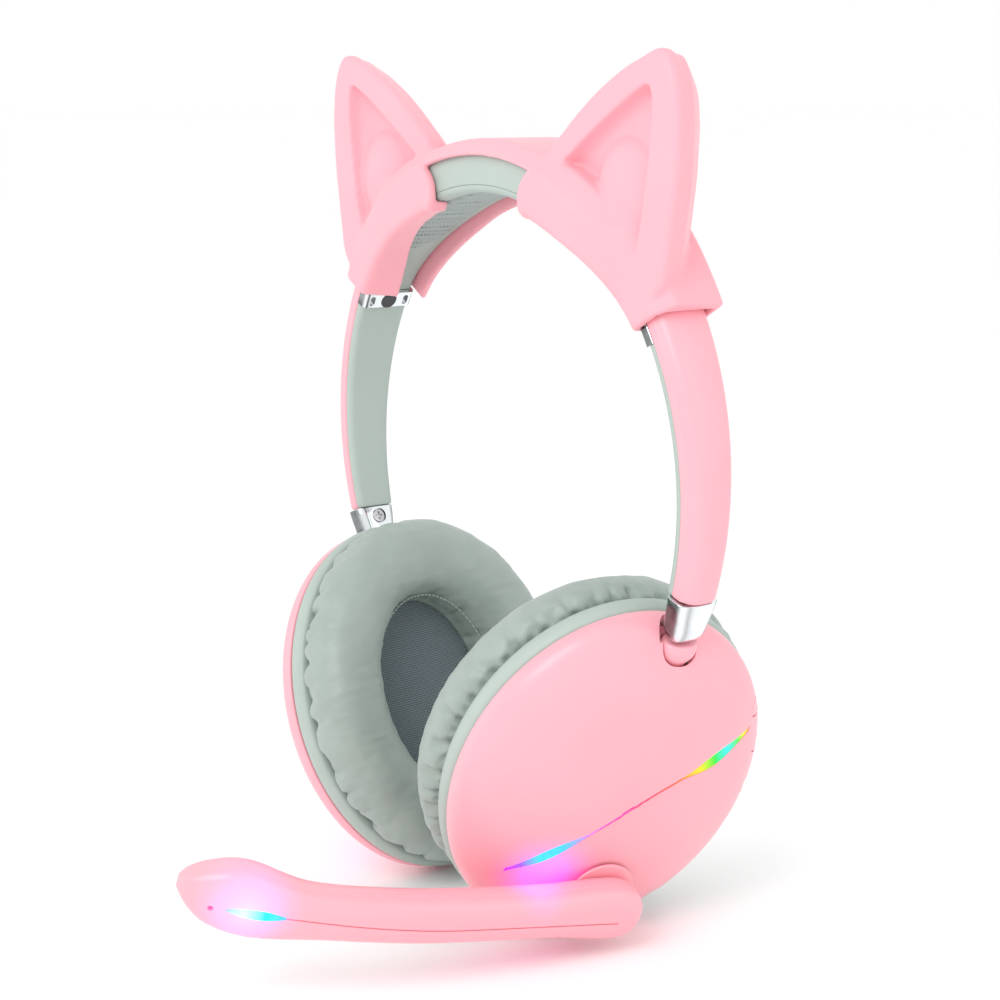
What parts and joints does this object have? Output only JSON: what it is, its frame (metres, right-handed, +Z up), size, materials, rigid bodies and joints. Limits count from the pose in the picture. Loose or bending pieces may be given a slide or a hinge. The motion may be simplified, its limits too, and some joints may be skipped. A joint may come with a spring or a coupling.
{
  "type": "gaming headset",
  "caption": "Over-ear wireless gaming headset with a soft cat-ear headband cover, sliding and swivelling ear cups, a swinging boom microphone and lit strips.",
  "frame": {"origin": "underside of the headband's pad at the top of the arc, where it rests on the head", "axes": "+Z up, the wearer faces -Y, +X to the wearer's left (the microphone's side)"},
  "size_m": [0.1602, 0.159, 0.2292],
  "materials": {
    "pink_silicone": "soft matt silicone",
    "pink_plastic": "satin, lightly glossy",
    "grey_plastic": "fine matt texture",
    "grey_leather": "soft leatherette with pleats",
    "pad_mesh": "perforated soft insert with ribs",
    "mesh_cloth": "fine woven mesh",
    "chrome": "polished",
    "steel": "brushed",
    "screw_steel": "turned",
    "light_guide": "translucent, lit in colours",
    "circuit_board": "solder mask",
    "driver_cone": "thin clear film",
    "dark_plastic": "moulded"
  },
  "bodies": {
    "headband": {"headband_shell": "grey_plastic", "headband_liner": "grey_plastic", "ribbed_pad": "pad_mesh", "spring_band": "steel", "link_cable": "dark_plastic", "cat_ear_cover": "pink_silicone", "collar_left": "chrome", "collar_right": "chrome", "collar_screws": "screw_steel", "arm_shell_left": "pink_plastic", "arm_shell_right": "pink_plastic", "arm_liner_left": "grey_plastic", "arm_liner_right": "grey_plastic"},
    "slider_left": {"slider_strip_left": "steel", "ferrule_left": "chrome", "ferrule_screw_left": "screw_steel"},
    "stem_left": {"neck_left": "pink_plastic"},
    "cup_left": {"pivot_pin_left": "steel", "cup_shell_left": "pink_plastic", "light_guide_left": "light_guide", "led_board_left": "circuit_board", "mid_ring_left": "grey_plastic", "baffle_left": "dark_plastic", "driver_frame_left": "dark_plastic", "driver_magnet_left": "steel", "driver_cone_left": "driver_cone", "ear_cushion_left": "grey_leather", "mesh_cloth_left": "mesh_cloth", "cup_screws_left": "screw_steel", "main_board": "circuit_board", "usb_port": "steel", "audio_jack": "dark_plastic"},
    "slider_right": {"slider_strip_right": "steel", "ferrule_right": "chrome", "ferrule_screw_right": "screw_steel"},
    "stem_right": {"neck_right": "pink_plastic"},
    "cup_right": {"pivot_pin_right": "steel", "cup_shell_right": "pink_plastic", "light_guide_right": "light_guide", "led_board_right": "circuit_board", "mid_ring_right": "grey_plastic", "baffle_right": "dark_plastic", "driver_frame_right": "dark_plastic", "driver_magnet_right": "steel", "driver_cone_right": "driver_cone", "ear_cushion_right": "grey_leather", "mesh_cloth_right": "mesh_cloth", "cup_screws_right": "screw_steel", "battery": "steel"},
    "mic_boom": {"mic_hub": "pink_plastic", "boom_outer": "pink_plastic", "boom_inner": "pink_plastic", "boom_light_guide": "light_guide", "mic_capsule": "dark_plastic"},
    "power_button": {"power_button": "pink_plastic"},
    "volume_up_button": {"volume_up_button": "pink_plastic"},
    "volume_down_button": {"volume_down_button": "pink_plastic"},
    "light_button": {"light_button": "pink_plastic"}
  },
  "joints": [
    {"name": "left_extension", "type": "slide", "parent": "headband", "child": "slider_left", "axis": [-0.2079, 0, -0.9781], "range_m": [0, 0.018]},
    {"name": "left_swivel", "type": "hinge", "parent": "slider_left", "child": "stem_left", "pos_m": [0.072, 0, -0.09596], "axis": [0.3665, 0, 0.9304], "range_deg": [0, 24]},
    {"name": "left_tilt", "type": "hinge", "parent": "stem_left", "child": "cup_left", "pos_m": [0.06445, 0.00013, -0.11352], "axis": [-0.2014, -0.9763, 0.0793], "range_deg": [0, 12]},
    {"name": "right_extension", "type": "slide", "parent": "headband", "child": "slider_right", "axis": [0.2079, 0, -0.9781], "range_m": [0, 0.018]},
    {"name": "right_swivel", "type": "hinge", "parent": "slider_right", "child": "stem_right", "pos_m": [-0.072, 0, -0.09596], "axis": [0.3665, 0, -0.9304], "range_deg": [0, 20]},
    {"name": "right_tilt", "type": "hinge", "parent": "stem_right", "child": "cup_right", "pos_m": [-0.06444, 0.00008, -0.11351], "axis": [-0.1295, 0.9903, -0.051], "range_deg": [0, 12]},
    {"name": "mic_swing", "type": "hinge", "parent": "cup_left", "child": "mic_boom", "pos_m": [0.05118, -0.00919, -0.18127], "axis": [-0.9084, 0.2164, 0.3578], "range_deg": [-60, 55]},
    {"name": "power_press", "type": "slide", "parent": "cup_left", "child": "power_button", "axis": [-0.1787, -0.9745, 0.1357], "range_m": [0, 0.0006], "stiffness_N_per_m": 1200, "springref_m": -0.0004},
    {"name": "volume_up_press", "type": "slide", "parent": "cup_left", "child": "volume_up_button", "axis": [-0.3326, -0.8925, -0.3046], "range_m": [0, 0.0006], "stiffness_N_per_m": 1200, "springref_m": -0.0004},
    {"name": "volume_down_press", "type": "slide", "parent": "cup_left", "child": "volume_down_button", "axis": [-0.2647, -0.96, -0.0912], "range_m": [0, 0.0006], "stiffness_N_per_m": 1200, "springref_m": -0.0004},
    {"name": "light_press", "type": "slide", "parent": "cup_left", "child": "light_button", "axis": [-0.0877, -0.9352, 0.343], "range_m": [0, 0.0006], "stiffness_N_per_m": 1200, "springref_m": -0.0004}
  ]
}
